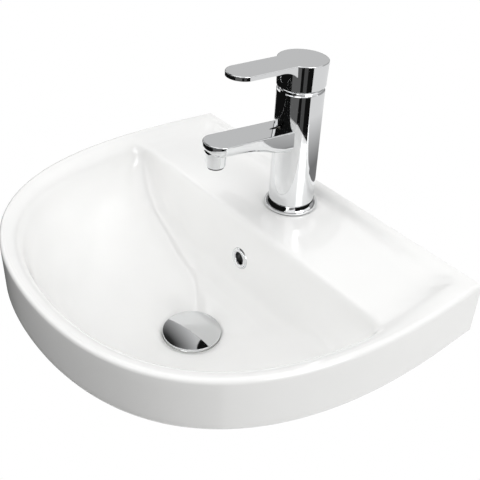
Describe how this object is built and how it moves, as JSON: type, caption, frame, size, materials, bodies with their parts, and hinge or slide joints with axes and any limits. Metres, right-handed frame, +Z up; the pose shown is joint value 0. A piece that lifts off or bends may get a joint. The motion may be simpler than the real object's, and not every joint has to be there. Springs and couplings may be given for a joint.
{
  "type": "wall-hung basin",
  "caption": "D-shaped ceramic wall-hung basin with a ledge-mounted single-lever mixer tap, a push-to-open domed waste plug and an overflow ring.",
  "frame": {"origin": "on the wall plane, midway between the two wall fixing holes", "axes": "+Z up, +X to the right of someone facing the wall, +Y into the wall"},
  "size_m": [0.45, 0.354, 0.381],
  "materials": {
    "glazed_ware": "gloss",
    "chrome_plate": "polished",
    "brass_parts": "machined",
    "steel_parts": "zinc plated",
    "seal_rubber": "matt",
    "moulded_plastic": "moulded",
    "black_plastic": "moulded",
    "lapped_discs": "lapped"
  },
  "bodies": {
    "basin": {"basin_body": "glazed_ware", "overflow_ring": "chrome_plate", "waste_body": "brass_parts", "waste_top_seal": "seal_rubber", "waste_lower_seal": "seal_rubber", "waste_slip_washer": "moulded_plastic", "waste_backnut": "brass_parts", "click_housing": "moulded_plastic", "click_spring": "steel_parts", "tap_body": "chrome_plate", "tap_base_ring": "chrome_plate", "tap_base_seal": "seal_rubber", "trim_ring": "chrome_plate", "cartridge_housing": "moulded_plastic", "cartridge_base": "moulded_plastic", "cartridge_port_seals": "seal_rubber", "fixed_disc": "lapped_discs", "cartridge_nut": "brass_parts", "aerator_housing": "black_plastic", "aerator_insert": "black_plastic", "aerator_washer": "seal_rubber", "fixing_stud": "steel_parts", "horseshoe_seal": "seal_rubber", "horseshoe_plate": "steel_parts", "fixing_nut": "steel_parts"},
    "plug": {"plug_cap": "chrome_plate", "plug_seal": "seal_rubber", "plug_rod": "brass_parts", "click_cam": "moulded_plastic"},
    "rotor": {"cartridge_rotor": "moulded_plastic", "pivot_pin": "steel_parts"},
    "lever": {"lever_handle": "chrome_plate", "lever_spindle": "brass_parts", "lever_grub_screw": "steel_parts", "lever_index_plug": "chrome_plate"},
    "disc": {"moving_disc": "lapped_discs", "disc_carrier": "moulded_plastic"}
  },
  "joints": [
    {"name": "lever_turn", "type": "hinge", "parent": "basin", "child": "rotor", "pos_m": [0, -0.0445, 0.1735], "axis": [0, 0, 1], "range_deg": [-50, 50]},
    {"name": "lever_tilt", "type": "hinge", "parent": "rotor", "child": "lever", "pos_m": [0, -0.0445, 0.1735], "axis": [-1, 0, 0], "range_deg": [0, 18]},
    {"name": "disc_slide", "type": "slide", "parent": "rotor", "child": "disc", "axis": [0, -1, 0], "range_m": [0, 0.0033]},
    {"name": "plug_lift", "type": "slide", "parent": "basin", "child": "plug", "axis": [0, 0, 1], "range_m": [0, 0.008], "deforming": ["click_spring"]}
  ],
  "couplings": [
    {"joint": "disc_slide", "follows": "lever_tilt", "m_per_rad": 0.01}
  ]
}
